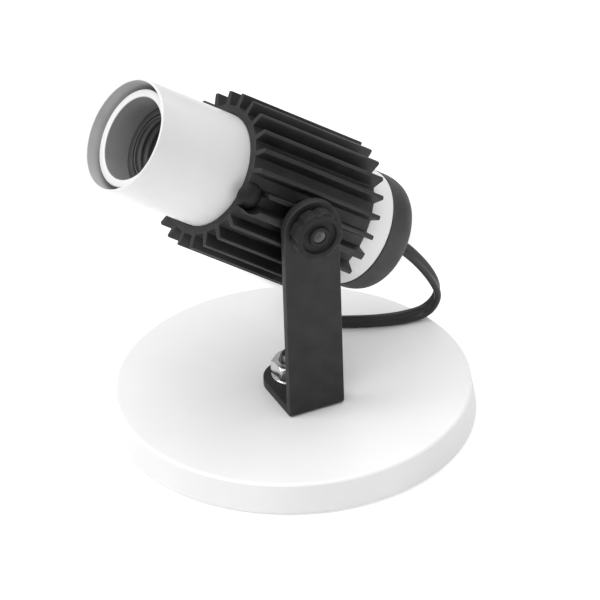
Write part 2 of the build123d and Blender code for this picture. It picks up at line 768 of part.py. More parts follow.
with BuildPart() as cord_coil:
    with BuildSketch(Plane.XY.offset(COIL_BOTTOM)):
        with Locations((coil_centre.X, coil_centre.Y)):
            Circle(COIL_OUTER_RADIUS)
            Circle(COIL_INNER_RADIUS, mode=Mode.SUBTRACT)
    extrude(amount=COIL_TOP - COIL_BOTTOM)
    fillet(cord_coil.edges().filter_by(GeomType.CIRCLE), COIL_EDGE_ROUND)
save(cord_coil.part, "cord_coil")

coil_middle_radius = (COIL_INNER_RADIUS + COIL_OUTER_RADIUS) / 2
coil_middle_height = (COIL_TOP + COIL_BOTTOM) / 2
tie_origin = coil_centre + trail_side * coil_middle_radius + Vector(0, 0, coil_middle_height)
tie_opening = (
    COIL_OUTER_RADIUS - COIL_INNER_RADIUS + 2 * TIE_CLEARANCE,
    COIL_TOP - COIL_BOTTOM + 2 * TIE_CLEARANCE,
)

with BuildPart() as cord_tie:
    with BuildSketch(Plane(tie_origin, x_dir=trail_side, z_dir=trail)):
        Rectangle(tie_opening[0] + 2 * TIE_BAND, tie_opening[1] + 2 * TIE_BAND)
        Rectangle(*tie_opening, mode=Mode.SUBTRACT)
    extrude(amount=TIE_WIDTH / 2, both=True)
save(cord_tie.part, "cord_tie")

with BuildPart() as plug_strain_relief:
    with BuildSketch(plug_plane(PLUG_RELIEF_START)):
        Circle(RELIEF_START_RADIUS)
    with BuildSketch(plug_plane(PLUG_RELIEF_END)):
        Circle(RELIEF_END_RADIUS)
    loft()
save(plug_strain_relief.part, "plug_strain_relief")

with BuildPart() as plug_body:
    with BuildSketch(plug_plane(PLUG_RELIEF_END)):
        RectangleRounded(*PLUG_NECK, PLUG_NECK_CORNER)
    with BuildSketch(plug_plane(PLUG_SHOULDER_END)):
        RectangleRounded(PLUG_WIDTH, PLUG_HEIGHT, PLUG_CORNER)
    loft()
    with BuildSketch(plug_plane(PLUG_SHOULDER_END)):
        RectangleRounded(PLUG_WIDTH, PLUG_HEIGHT, PLUG_CORNER)
    extrude(amount=PLUG_FACE - PLUG_SHOULDER_END)
save(plug_body.part, "plug_body")

with BuildPart() as plug_pins:
    with BuildSketch(plug_plane(PLUG_FACE)):
        with Locations((PIN_SPACING / 2, 0), (-PIN_SPACING / 2, 0)):
            Circle(PIN_RADIUS)
    extrude(amount=PIN_LENGTH)
    fillet(plug_pins.faces().filter_by(GeomType.PLANE).sort_by(Axis.Y)[-2:].edges(), PIN_TIP_ROUND)
save(plug_pins.part, "plug_pins")
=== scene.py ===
"""Adjustable table spot: detailed pieces, materials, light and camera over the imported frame."""
from math import atan2, cos, pi, radians, sin, sqrt, tan

import bmesh
import bpy
from mathutils import Matrix, Vector


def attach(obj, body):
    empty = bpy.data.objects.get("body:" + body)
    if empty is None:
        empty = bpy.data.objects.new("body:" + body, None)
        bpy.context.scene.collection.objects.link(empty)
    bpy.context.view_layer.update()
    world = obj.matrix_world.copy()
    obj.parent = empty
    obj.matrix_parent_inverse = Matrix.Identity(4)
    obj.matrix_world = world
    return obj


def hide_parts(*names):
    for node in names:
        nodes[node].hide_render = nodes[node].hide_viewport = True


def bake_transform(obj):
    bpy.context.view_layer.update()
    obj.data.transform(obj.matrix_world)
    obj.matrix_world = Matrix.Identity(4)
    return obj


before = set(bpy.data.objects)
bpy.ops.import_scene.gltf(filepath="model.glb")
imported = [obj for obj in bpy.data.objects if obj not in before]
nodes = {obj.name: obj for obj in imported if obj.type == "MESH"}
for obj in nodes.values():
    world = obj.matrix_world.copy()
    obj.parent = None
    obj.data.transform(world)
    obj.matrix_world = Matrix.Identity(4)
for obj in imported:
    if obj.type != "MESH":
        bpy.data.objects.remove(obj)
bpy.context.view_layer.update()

MM = 0.001

# ---- dimensions shared with the solid model, millimetres -------------------------------
BASE_TOP = 14.6
BASE_BOTTOM = 1.0
BASE_TOP_RADIUS = 75.0
BASE_FOOT_RADIUS = 76.8
PIVOT_HEIGHT = 104.8
TUBE_Y = 14.9
NOSE_RAISE = radians(36.3)
PIVOT_ABOVE_TUBE = 3.7
LOCK_TURN = radians(7.5)
LOCK_FORWARD = 28.2
CORD_WIDTH = 5.8
CORD_THICKNESS = 2.9
CORD_ON_BASE = 17.6
TRAIL_ANGLE = radians(65.5)
COIL_BACK = 134.0
COIL_SIDE = 11.0
LAST_TURN_RADIUS = 35.7
PLUG_CENTRE_HEIGHT = 6.9

nose = Vector((-cos(NOSE_RAISE), 0, sin(NOSE_RAISE)))
crown = Vector((sin(NOSE_RAISE), 0, cos(NOSE_RAISE)))
outward = Vector((0, -1, 0))
tube_centre = Vector((0, TUBE_Y, PIVOT_HEIGHT)) - crown * PIVOT_ABOVE_TUBE


def axes(origin, x, y, z):
    """Matrix from local millimetres to metres, with the given local directions."""
    m = Matrix((x, y, z)).transposed().to_4x4()
    m.translation = origin
    return Matrix.Scale(MM, 4) @ m


HEAD = axes(tube_centre, nose, outward, crown)
PIVOT = axes(Vector((0, TUBE_Y, PIVOT_HEIGHT)), outward, Vector((1, 0, 0)), Vector((0, 0, 1)))
UPRIGHT = axes(Vector((0, 0, 0)), Vector((0, 0, 1)), Vector((1, 0, 0)), Vector((0, 1, 0)))

lock_direction = outward * cos(LOCK_TURN) + crown * sin(LOCK_TURN)
lock_root = tube_centre + nose * LOCK_FORWARD
LOCK = axes(lock_root, lock_direction, nose, lock_direction.cross(nose))

trail = Vector((cos(TRAIL_ANGLE), sin(TRAIL_ANGLE), 0))
trail_side = Vector((trail.y, -trail.x, 0))
coil_centre = trail * COIL_BACK + trail_side * COIL_SIDE
plug_line = trail_side * (COIL_SIDE - LAST_TURN_RADIUS) + Vector((0, 0, PLUG_CENTRE_HEIGHT))
PLUG = axes(plug_line, trail, trail_side, trail.cross(trail_side))


# ---- camera ----------------------------------------------------------------------------
CAMERA_TURN = radians(24.51)
CAMERA_DROP = radians(33.20)
CAMERA_ROLL = radians(1.896)
CAMERA_TARGET = Vector((0, 0, 40))
CAMERA_BACK = 2705.7
CAMERA_RIGHT = 4.007
CAMERA_UP = 13.34
CAMERA_LENS = 388.1


def make_camera():
    """A long lens that looks down at the lamp; distances are in the solid's millimetres."""
    turn, drop, roll = CAMERA_TURN, CAMERA_DROP, CAMERA_ROLL
    forward = Vector((sin(turn) * cos(drop), cos(turn) * cos(drop), -sin(drop)))
    right = Vector((cos(turn), -sin(turn), 0))
    up = right.cross(forward)
    place = CAMERA_TARGET - forward * CAMERA_BACK + right * CAMERA_RIGHT + up * CAMERA_UP
    rolled_right = right * cos(roll) - up * sin(roll)
    rolled_up = right * sin(roll) + up * cos(roll)
    data = bpy.data.cameras.new("camera")
    data.sensor_width = 36.0
    data.lens = CAMERA_LENS
    data.clip_start = 0.1
    data.clip_end = 50.0
    camera = bpy.data.objects.new("camera", data)
    m = Matrix((rolled_right, rolled_up, -forward)).transposed().to_4x4()
    m.translation = place * MM
    camera.matrix_world = m
    bpy.context.scene.collection.objects.link(camera)
    bpy.context.scene.camera = camera


make_camera()


# ---- materials -------------------------------------------------------------------------
def noise(tree, source, scale, detail, stretch=None):
    """A noise value over the given coordinates, stretched along an axis if wanted."""
    if stretch is not None:
        mapping = tree.nodes.new("ShaderNodeMapping")
        mapping.inputs["Scale"].default_value = stretch
        tree.links.new(source, mapping.inputs["Vector"])
        source = mapping.outputs["Vector"]
    tex = tree.nodes.new("ShaderNodeTexNoise")
    tex.inputs["Scale"].default_value = scale
    tex.inputs["Detail"].default_value = detail
    tree.links.new(source, tex.inputs["Vector"])
    return tex.outputs["Fac"]


def spread(tree, fac, low, high):
    """Map the middle of a noise value to a range."""
    node = tree.nodes.new("ShaderNodeMapRange")
    node.inputs["From Min"].default_value = 0.3
    node.inputs["From Max"].default_value = 0.7
    node.inputs["To Min"].default_value = low
    node.inputs["To Max"].default_value = high
    tree.links.new(fac, node.inputs["Value"])
    return node.outputs["Result"]


def surface(name, dark, light, rough, grain=900.0, patch=60.0, bump=0.1, depth=0.05,
            metallic=0.0, coat=0.0, stretch=None, sheen=0.0, specular=0.5):
    """A procedural finish: patchy colour, uneven gloss and a fine surface grain."""
    mat = bpy.data.materials.new(name)
    mat.use_nodes = True
    tree = mat.node_tree
    shader = tree.nodes["Principled BSDF"]
    shader.inputs["Metallic"].default_value = metallic
    shader.inputs["Coat Weight"].default_value = coat
    shader.inputs["Coat Roughness"].default_value = 0.2
    shader.inputs["Sheen Weight"].default_value = sheen
    shader.inputs["Specular IOR Level"].default_value = specular
    place = tree.nodes.new("ShaderNodeTexCoord").outputs["Object"]
    ramp = tree.nodes.new("ShaderNodeValToRGB")
    ramp.color_ramp.elements[0].position = 0.35
    ramp.color_ramp.elements[1].position = 0.65
    ramp.color_ramp.elements[0].color = (*dark, 1)
    ramp.color_ramp.elements[1].color = (*light, 1)
    tree.links.new(noise(tree, place, patch, 4.0, stretch), ramp.inputs["Fac"])
    tree.links.new(ramp.outputs["Color"], shader.inputs["Base Color"])
    gloss = spread(tree, noise(tree, place, patch * 2.3, 3.0, stretch), rough[0], rough[1])
    tree.links.new(gloss, shader.inputs["Roughness"])
    relief = tree.nodes.new("ShaderNodeBump")
    relief.inputs["Strength"].default_value = bump
    relief.inputs["Distance"].default_value = depth * MM
    tree.links.new(noise(tree, place, grain, 2.0, stretch), relief.inputs["Height"])
    tree.links.new(relief.outputs["Normal"], shader.inputs["Normal"])
    return mat


def grey(value):
    """A neutral grey with a trace of blue."""
    return (value, value, value * 1.01)


white_lacquer = surface("white_lacquer", grey(0.90), grey(0.93), (0.32, 0.42), grain=260.0,
                        patch=25.0, bump=0.08, depth=0.06)
# Painted shade: the base's rim takes a darker white than its top, standing for the shade on the side
# under the overhead light.
rim_painted_shade_lacquer = surface("rim_painted_shade_lacquer", grey(0.78), grey(0.82), (0.36, 0.46), grain=260.0,
                       patch=25.0, bump=0.1, depth=0.06)
white_enamel = surface("white_enamel", grey(0.76), grey(0.79), (0.28, 0.40), grain=420.0,
                       patch=40.0, bump=0.10, depth=0.05, coat=0.2)
collar_enamel = surface("collar_enamel", grey(0.85), grey(0.89), (0.34, 0.46), grain=420.0,
                        patch=50.0, bump=0.10, depth=0.05)
socket_white = surface("socket_white", grey(0.78), grey(0.82), (0.30, 0.40), grain=600.0,
                       patch=50.0, bump=0.06, depth=0.04)
# Painted shade: the skirt's bore is a dark grey, standing for the shade inside the lampholder's
# mouth.
socket_bore_painted_shade = surface("socket_bore_painted_shade", grey(0.26), grey(0.33), (0.35, 0.5), grain=600.0,
                        patch=50.0, bump=0.06, depth=0.04)
# Painted shade: the tube's inner wall is a darker grey than its white outside, standing for the shade
# inside the bore.
tube_bore_painted_shade = surface("tube_bore_painted_shade", grey(0.42), grey(0.49), (0.35, 0.5), grain=500.0,
                      patch=50.0, bump=0.08, depth=0.05)
fin_black = surface("fin_black", grey(0.013), grey(0.021), (0.42, 0.56), grain=1500.0,
                    patch=90.0, bump=0.25, depth=0.06)
bar_black = surface("bar_black", grey(0.012), grey(0.017), (0.50, 0.64), grain=1700.0,
                    patch=80.0, bump=0.30, depth=0.06, specular=0.4)
knob_black = surface("knob_black", grey(0.009), grey(0.014), (0.52, 0.66), grain=1600.0,
                     patch=120.0, bump=0.25, depth=0.04, specular=0.3)
cap_black = surface("cap_black", grey(0.034), grey(0.048), (0.50, 0.62), grain=2000.0,
                    patch=70.0, bump=0.35, depth=0.05)
screw_black = surface("screw_black", grey(0.009), grey(0.014), (0.48, 0.6), grain=900.0,
                      patch=150.0, bump=0.12, depth=0.03, specular=0.3)
well_black = surface("well_black", grey(0.055), grey(0.075), (0.45, 0.6), grain=1200.0,
                     patch=90.0, bump=0.2, depth=0.04)
rubber_black = surface("rubber_black", grey(0.016), grey(0.024), (0.55, 0.7), grain=1800.0,
                       patch=90.0, bump=0.3, depth=0.05)
cable_black = surface("cable_black", grey(0.010), grey(0.017), (0.30, 0.42), grain=1400.0,
                      patch=70.0, bump=0.12, depth=0.04)
plug_black = surface("plug_black", grey(0.014), grey(0.022), (0.42, 0.55), grain=1900.0,
                     patch=80.0, bump=0.3, depth=0.04)
zinc = surface("zinc", grey(0.78), grey(0.9), (0.14, 0.28), grain=700.0, patch=180.0,
               bump=0.25, depth=0.04, metallic=1.0)
dark_steel = surface("dark_steel", grey(0.05), grey(0.12), (0.32, 0.5), grain=900.0,
                     patch=200.0, bump=0.3, depth=0.04, metallic=1.0)
shell_metal = surface("shell_metal", (0.15, 0.15, 0.15), (0.19, 0.19, 0.19), (0.5, 0.62),
                      grain=900.0, patch=120.0, bump=0.2, depth=0.03, metallic=0.3)
pin_metal = surface("pin_metal", (0.62, 0.60, 0.55), (0.74, 0.72, 0.66), (0.18, 0.3),
                    grain=900.0, patch=160.0, bump=0.15, depth=0.02, metallic=1.0)
felt = surface("felt", grey(0.16), grey(0.26), (0.9, 1.0), grain=2600.0, patch=500.0,
               bump=0.9, depth=0.3, sheen=0.3)
strap = surface("strap", grey(0.02), grey(0.05), (0.75, 0.9), grain=1500.0, patch=900.0,
                bump=0.9, depth=0.25, stretch=(0.3, 3.0, 3.0), sheen=0.2)


# ---- mesh helpers ----------------------------------------------------------------------
def mesh_object(name, verts, faces):
    """A mesh in the scene, with doubled points merged and its faces turned outwards."""
    mesh = bpy.data.meshes.new(name)
    mesh.from_pydata([tuple(v) for v in verts], [], faces)
    bm = bmesh.new()
    bm.from_mesh(mesh)
    bmesh.ops.remove_doubles(bm, verts=bm.verts, dist=1e-7)
    bmesh.ops.recalc_face_normals(bm, faces=bm.faces)
    bm.to_mesh(mesh)
    bm.free()
    obj = bpy.data.objects.new(name, mesh)
    bpy.context.scene.collection.objects.link(obj)
    return obj


def bridge(one, two):
    """Quads between two rings of vertex numbers."""
    ahead = [*range(1, len(one)), 0]
    return [(one[k], one[j], two[j], two[k]) for k, j in enumerate(ahead)]


def end_caps(rings):
    """Flat faces over the first and last ring of a sweep."""
    return [tuple(reversed(rings[0])), tuple(rings[-1])]


def lathe(name, profile, matrix, segments=160, shape=None, start=0.0):
    """Turn a closed outline of (distance, radius) points about the local X axis."""
    verts, faces, rings = [], [], []
    for s, r in profile:
        ring = []
        count = segments if r > 1e-6 else 1
        for k in range(count):
            a = start + 2 * pi * k / segments
            rr = r if shape is None or count == 1 else shape(s, r, a)
            ring.append(len(verts))
            verts.append(matrix @ Vector((s, rr * cos(a), rr * sin(a))))
        rings.append(ring)
    for one, two in zip(rings, rings[1:] + rings[:1]):
        if len(one) == 1 and len(two) == 1:
            continue
        if len(one) == len(two):
            faces += bridge(one, two)
            continue
        for k in range(segments):
            j = (k + 1) % segments
            if len(one) == 1:
                faces.append((one[0], two[j], two[k]))
            else:
                faces.append((one[k], one[j], two[0]))
    return mesh_object(name, verts, faces)


def rounded(points, radii, steps=5):
    """Replace numbered corners of a closed outline by arcs."""
    result = []
    count = len(points)
    for i, p in enumerate(points):
        here = Vector(p)
        if i not in radii:
            result.append(tuple(here))
            continue
        back = (Vector(points[i - 1]) - here).normalized()
        ahead = (Vector(points[(i + 1) % count]) - here).normalized()
        half = back.angle(ahead) / 2
        run = radii[i] / tan(half)
        centre = here + (back + ahead).normalized() * (radii[i] / sin(half))
        first = here + back * run - centre
        last = here + ahead * run - centre
        total = first.angle(last)
        for k in range(steps + 1):
            t = k / steps
            v = (first * sin((1 - t) * total) + last * sin(t * total)) / sin(total)
            result.append(tuple(centre + v))
    return result


def evaluated(obj):
    """The object with its modifiers applied to its mesh."""
    graph = bpy.context.evaluated_depsgraph_get()
    mesh = bpy.data.meshes.new_from_object(obj.evaluated_get(graph))
    obj.modifiers.clear()
    old = obj.data
    obj.data = mesh
    bpy.data.meshes.remove(old)
    return obj


def soften(obj, width, angle=50, segments=2):
    """Round the object's sharp edges by a width in millimetres."""
    mod = obj.modifiers.new("soft edge", "BEVEL")
    mod.width = width * MM
    mod.segments = segments
    mod.limit_method = "ANGLE"
    mod.angle_limit = radians(angle)
    mod.use_clamp_overlap = False
    return evaluated(obj)


def cut(obj, cutter):
    """Take the cutter out of the object."""
    mod = obj.modifiers.new("cut", "BOOLEAN")
    mod.operation = "DIFFERENCE"
    mod.solver = "EXACT"
    mod.object = cutter
    evaluated(obj)
    bpy.data.objects.remove(cutter)
    return obj


def rod(matrix, start, end, radius, offset=(0.0, 0.0), segments=96):
    """A plain cylinder, only used to cut holes."""
    shift = Matrix.Translation(Vector((0, offset[0], offset[1])))
    return lathe("cutter", [(start, 0), (start, radius), (end, radius), (end, 0)],
                 matrix @ shift, segments)


def finish_piece(obj, material, body, slot, *replaced, smooth=38):
    """Give a piece its material, shading and body, and hide the nodes it replaces. The slot is not
    used.
    """
    obj.data.materials.clear()
    obj.data.materials.append(material)
    obj.data.shade_smooth()
    obj.data.set_sharp_from_angle(angle=radians(smooth))
    if replaced:
        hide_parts(*replaced)
    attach(obj, body)
    return obj


def turned(name, outline, matrix, segments, material, body, slot, *replaced, smooth=30):
    """A piece turned on the lathe and finished."""
    piece = lathe(name, outline, matrix, segments)
    return finish_piece(piece, material, body, slot, *replaced, smooth=smooth)


def paint_bore_shade(obj, radius, material):
    """Give the head piece's faces inside a radius about the lamp's axis a second, darker material:
    painted shade inside the bore.
    """
    to_head = HEAD.inverted()
    obj.data.materials.append(material)
    for face in obj.data.polygons:
        middle = to_head @ face.center
        if sqrt(middle.y ** 2 + middle.z ** 2) < radius:
            face.material_index = 1


# ---- mains lead ------------------------------------------------------------------------
CORD_EXIT = -68.4
CORD_HEADING = -75.5
cord_start = tube_centre + nose * CORD_EXIT
cord_heading = tube_centre + nose * CORD_HEADING

LOOP_ROUTE = [
    tuple(cord_start),
    tuple(cord_heading),
    (67.5, 15.0, 46.2),
    (74.3, 15.8, 34.8),
    (77.4, 17.2, 25.2),
    (72.2, 18.6, CORD_ON_BASE),
    (61.0, 18.7, CORD_ON_BASE),
    (52.0, 21.2, CORD_ON_BASE),
    (43.8, 24.4, CORD_ON_BASE),
    (35.0, 28.9, CORD_ON_BASE),
]
LOOP_WIDE = [
    tuple(crown), (0.8, 0.5, 0.6), (0.9, 0.6, 0.35), (0.75, 0.8, 0.25), (0.2, 1, 0.1),
    (0, 0.75, 0.65), (0, 0.2, 1), (0, 0, 1), (0, 0, 1), (0, 0, 1),
]
RUN_ROUTE = [
    (35.0, 28.9, CORD_ON_BASE),
    (29.2, 31.9, CORD_ON_BASE),
    (24.9, 38.2, CORD_ON_BASE),
    (23.6, 46.8, 17.9),
    (26.2, 56.0, 20.3),
    (31.2, 64.9, 22.3),
    (36.0, 73.4, 20.8),
    (38.8, 82.6, 10.8),
    (34.9, 95.4, 4.4),
]
TAIL_ROUTE = [
    (35.17, 136.73, 10.0),
    (37.24, 141.28, 8.2),
    (39.36, 145.92, 7.0),
    (41.45, 150.51, 6.9),
]


COIL_ENTER = Vector((31.6, 106.6))
COIL_LEAVE = Vector((33.09, 132.18))
COIL_TURNS = 6
COIL_STEPS = 24 * COIL_TURNS + 3
TURN_PITCH = 3.6          # one turn lies this far inside the next
SLIDE_START = 0.86        # share of a turn after which the lead slides inwards
SLIDE_LENGTH = 0.14
CLIMB_START = 2.9         # turns after which the lead climbs to the upper layer
CLIMB_LENGTH = 0.2
LOWER_LAYER = 4.3
LAYER_RISE = 6.1


def coil_route():
    """Turns of the coil: three inwards on the floor, then three outwards on top."""
    enter = COIL_ENTER - coil_centre.xy
    leave = COIL_LEAVE - coil_centre.xy
    first = atan2(enter.y, enter.x)
    last = atan2(leave.y, leave.x)
    sweep = (first - last) % (2 * pi) + 2 * pi * COIL_TURNS
    points = []
    for k in range(COIL_STEPS + 1):
        swept = sweep * k / COIL_STEPS
        turns = swept / sweep * COIL_TURNS
        inward = turns if turns < COIL_TURNS / 2 else COIL_TURNS - turns
        layer = min(int(inward), 2)
        slide = 0.0
        if layer < 2:
            slide = min(1.0, max(0.0, (inward - layer - SLIDE_START) / SLIDE_LENGTH))
        radius = LAST_TURN_RADIUS - TURN_PITCH * (layer + slide)
        climb = min(1.0, max(0.0, (turns - CLIMB_START) / CLIMB_LENGTH))
        height = LOWER_LAYER + LAYER_RISE * climb * climb * (3 - 2 * climb)
        a = first - swept
        points.append((coil_centre.x + radius * cos(a), coil_centre.y + radius * sin(a), height))
    return points


def smooth_line(points):
    """Positions along the NURBS spline that has these control points."""
    curve = bpy.data.curves.new("line", "CURVE")
    curve.dimensions = "3D"
    curve.resolution_u = 8
    spline = curve.splines.new("NURBS")
    spline.points.add(len(points) - 1)
    for target, p in zip(spline.points, points):
        target.co = (*p, 1)
    spline.order_u = 3
    spline.use_endpoint_u = True
    holder = bpy.data.objects.new("line", curve)
    bpy.context.scene.collection.objects.link(holder)
    bpy.context.view_layer.update()
    graph = bpy.context.evaluated_depsgraph_get()
    mesh = bpy.data.meshes.new_from_object(holder.evaluated_get(graph))
    line = [v.co.copy() for v in mesh.vertices]
    bpy.data.objects.remove(holder)
    bpy.data.curves.remove(curve)
    bpy.data.meshes.remove(mesh)
    return line


LOBE_REACH = 126          # degrees each way that a core's round side covers
GROOVE_HALF = 0.85


def two_core_section():
    """Outline of the flat lead: two round cores with a groove between them."""
    lobe = CORD_THICKNESS / 2
    centre = CORD_WIDTH / 2 - lobe
    points = []
    for side in (1, -1):
        for k in range(13):
            a = radians(-LOBE_REACH + 2 * LOBE_REACH * k / 12)
            points.append((side * (centre + lobe * cos(a)), side * lobe * sin(a)))
        points.append((0.0, side * GROOVE_HALF))
    return points


def cord_mesh(name, route, wides):
    """Sweep the flat lead along its line, turned so its wide side follows the hints."""
    line = smooth_line(route)
    hints = smooth_line(wides)
    section = two_core_section()
    verts, faces, rings = [], [], []
    for i, p in enumerate(line):
        ahead = (line[min(i + 1, len(line) - 1)] - line[max(i - 1, 0)]).normalized()
        wide = hints[i] - ahead * hints[i].dot(ahead)
        wide.normalize()
        thin = ahead.cross(wide)
        rings.append(range(len(verts), len(verts) + len(section)))
        for a, b in section:
            verts.append((p + wide * a + thin * b) * MM)
    for one, two in zip(rings, rings[1:]):
        faces += bridge(one, two)
    faces += end_caps(rings)
    obj = mesh_object(name, verts, faces)
    obj.data.materials.append(cable_black)
    obj.data.shade_smooth()
    obj.data.set_sharp_from_angle(angle=radians(70))
    path = [p * MM for p in line]
    length = sum((b - a).length for a, b in zip(path, path[1:]))
    return obj, path, length


lead_loop, loop_path, loop_length = cord_mesh("lead_loop", LOOP_ROUTE, LOOP_WIDE)
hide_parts("cord_loop")
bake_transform(lead_loop)

coil_points = coil_route()
run_points = RUN_ROUTE + coil_points + TAIL_ROUTE
run_wides = [(0, 0, 1)] * (len(run_points) - 3) + [
    tuple(trail_side * 0.5 + Vector((0, 0, 1))),
    tuple(trail_side + Vector((0, 0, 0.35))),
    tuple(trail_side),
]
lead_run, run_path, run_length = cord_mesh("lead_run", run_points, run_wides)


# ---- plug ------------------------------------------------------------------------------
RELIEF_START = 154.2
RELIEF_END = 171.0
RELIEF_RIBS = 6
RIB_PITCH = 2.3
GRIP_SIZE = (35.2, 13.6, 5.5)       # width, height and corner radius
RIB_GROOVE_SIZE = (34.2, 13.6, 5.5)
PLUG_FACE = 199.0
PIN_SIDE = 9.3
PIN_RADIUS = 2.0
PIN_BACK = 198.9
PIN_TIP = 218.0


def relief_outline():
    """A tapered sleeve with grooves round it, where the lead enters the plug."""
    start, end = RELIEF_START, RELIEF_END
    outline = [(start, 0.0), (start, 3.3), (start + 0.5, 3.7)]
    for k in range(RELIEF_RIBS):
        s = start + 2.0 + k * RIB_PITCH
        r = 3.75 + 1.5 * (s - start) / (end - start)
        outline += [(s, r), (s + 0.25, r - 0.7), (s + 0.95, r - 0.65), (s + 1.2, r + 0.1)]
    outline += [(end, 5.3), (end, 0.0)]
    return outline


plug_relief = turned("plug_relief", relief_outline(), PLUG, 72, plug_black, "base", "black_plug",
                     "plug_strain_relief")


def rounded_rectangle(width, height, radius, steps=6):
    """Outline of a rectangle about the origin, with its corners rounded."""
    points = []
    for k, (sx, sy) in enumerate(((1, 1), (-1, 1), (-1, -1), (1, -1))):
        for j in range(steps + 1):
            a = radians(90 * k + 90 * j / steps)
            points.append((sx * (width / 2 - radius) + radius * cos(a),
                           sy * (height / 2 - radius) + radius * sin(a)))
    return points


def plug_shape():
    """Flat grip: narrow at the lead, ribbed at the sides, with a rounded front face."""
    stations = [
        (171.0, 10.0, 9.0, 4.3), (171.2, 15.4, 11.0, 4.5), (173.0, 18.5, 11.9, 4.8),
        (176.0, 25.5, 12.9, 5.2), (178.5, 31.0, 13.4, 5.4), (180.5, 34.2, 13.6, 5.5),
        (182.0, *GRIP_SIZE),
    ]
    for k in range(4):
        s = 183.2 + 2.7 * k
        stations += [(s, *GRIP_SIZE), (s + 0.5, *RIB_GROOVE_SIZE), (s + 1.2, *RIB_GROOVE_SIZE),
                     (s + 1.7, *GRIP_SIZE)]
    stations += [(197.8, *GRIP_SIZE), (198.6, 34.7, 13.1, 5.3), (PLUG_FACE, 33.6, 12.0, 4.8)]
    verts, faces, rings = [], [], []
    for s, w, h, r in stations:
        ring = rounded_rectangle(w, h, r)
        rings.append(range(len(verts), len(verts) + len(ring)))
        verts += [PLUG @ Vector((s, y, z)) for y, z in ring]
    for one, two in zip(rings, rings[1:]):
        faces += bridge(one, two)
    faces += end_caps(rings)
    return mesh_object("plug_grip", verts, faces)


plug_grip = finish_piece(plug_shape(), plug_black, "base", "black_plug", "plug_body", smooth=32)

pin_pieces = []
for name, side in (("plug_pin_a", PIN_SIDE), ("plug_pin_b", -PIN_SIDE)):
    outline = rounded(
        [(PIN_BACK, 0), (PIN_BACK, PIN_RADIUS), (PIN_TIP, PIN_RADIUS), (PIN_TIP, 0)], {2: 1.2})
    pin = lathe(name, outline, PLUG @ Matrix.Translation((0, side, 0)), 40)
    pin_pieces.append(pin)
finish_piece(pin_pieces[0], pin_metal, "base", "pin_metal", "plug_pins")
finish_piece(pin_pieces[1], pin_metal, "base", "pin_metal")

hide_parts("cord_run", "cord_coil", "cord_tail")
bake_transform(lead_run)


# ---- coil tie --------------------------------------------------------------------------
TIE_MIDDLE_RADIUS = 32.2
TIE_MIDDLE_HEIGHT = 7.3
TIE_HALF_WIDTH = 2.5


def tie_band():
    """A flat strap once round the coil's section."""
    middle = coil_centre + trail_side * TIE_MIDDLE_RADIUS + Vector((0, 0, TIE_MIDDLE_HEIGHT))
    place = axes(middle, trail, trail_side, Vector((0, 0, -1)))
    inner = rounded_rectangle(11.1, 12.7, 2.2, 5)
    outer = rounded_rectangle(12.8, 14.4, 3.0, 5)
    verts, faces, rings = [], [], []
    for ring, side in ((inner, -1), (outer, -1), (outer, 1), (inner, 1)):
        rings.append(range(len(verts), len(verts) + len(ring)))
        verts += [place @ Vector((side * TIE_HALF_WIDTH, y, z)) for y, z in ring]
    for one, two in zip(rings, rings[1:] + rings[:1]):
        faces += bridge(one, two)
    return mesh_object("coil_tie", verts, faces)


coil_tie = soften(tie_band(), 0.25)
finish_piece(coil_tie, strap, "base", "tie_strap", "cord_tie", smooth=40)

# ---- base ------------------------------------------------------------------------------
BOLT_HOLE_RADIUS = 5.3
COUNTERBORE_RADIUS = 11.0
COUNTERBORE_FLOOR = 9.6
RIM_TOP = 13.6

base_outline = rounded(
    [(BASE_TOP, BOLT_HOLE_RADIUS), (COUNTERBORE_FLOOR, BOLT_HOLE_RADIUS),
     (COUNTERBORE_FLOOR, COUNTERBORE_RADIUS), (BASE_BOTTOM, COUNTERBORE_RADIUS),
     (BASE_BOTTOM, BASE_FOOT_RADIUS), (BASE_TOP, BASE_TOP_RADIUS)],
    {4: 0.6, 5: 1.3}, steps=6)
round_base = turned("round_base", base_outline, UPRIGHT, 288, white_lacquer, "base",
                    "white_lacquered_board", "base_disc", smooth=35)
# Painted shade: the rim's faces below the top edge get the darker white.
round_base.data.materials.append(rim_painted_shade_lacquer)
for face in round_base.data.polygons:
    if face.center.xy.length > BASE_TOP_RADIUS * MM and face.center.z < RIM_TOP * MM:
        face.material_index = 1

# ---- bolt, nut and washer --------------------------------------------------------------
BOLT_RADIUS = 5.0
BOLT_START = 9.2
BOLT_END = 30.0
THREAD_START = 20.0
THREAD_STEP = 0.125
THREAD_PITCH = 1.5
THREAD_CREST = 4.95
THREAD_DEPTH = 0.75
BOLT_CORE = 4.0
NUT_FLATS = 16.0
NUT_TURN = radians(32.5)
WASHER_RADIUS = 9.0
WASHER_BOTTOM = 18.82
WASHER_TOP = 19.8


def bolt_thread(s, r, a):
    """Follow a helical V thread wherever the outline is thick enough."""
    if r < BOLT_CORE or s < THREAD_START:
        return r
    phase = (s / THREAD_PITCH - a / (2 * pi)) % 1.0
    return min(r, THREAD_CREST - THREAD_DEPTH * (1 - abs(2 * phase - 1)))


bolt_outline = [(BOLT_START, 0), (BOLT_START, BOLT_RADIUS), (THREAD_START, BOLT_RADIUS)]
bolt_outline += [(THREAD_START + THREAD_STEP * k, BOLT_RADIUS) for k in range(1, 72)]
bolt_outline += [(BOLT_END - 1.0, BOLT_RADIUS), (BOLT_END - 0.75, 4.8), (BOLT_END - 0.5, 4.55),
                 (BOLT_END - 0.25, 4.3), (BOLT_END, BOLT_CORE), (BOLT_END, 0)]
bolt_end = lathe("bolt_thread", bolt_outline, UPRIGHT, 72, bolt_thread)
finish_piece(bolt_end, dark_steel, "base", "zinc_steel", smooth=60)


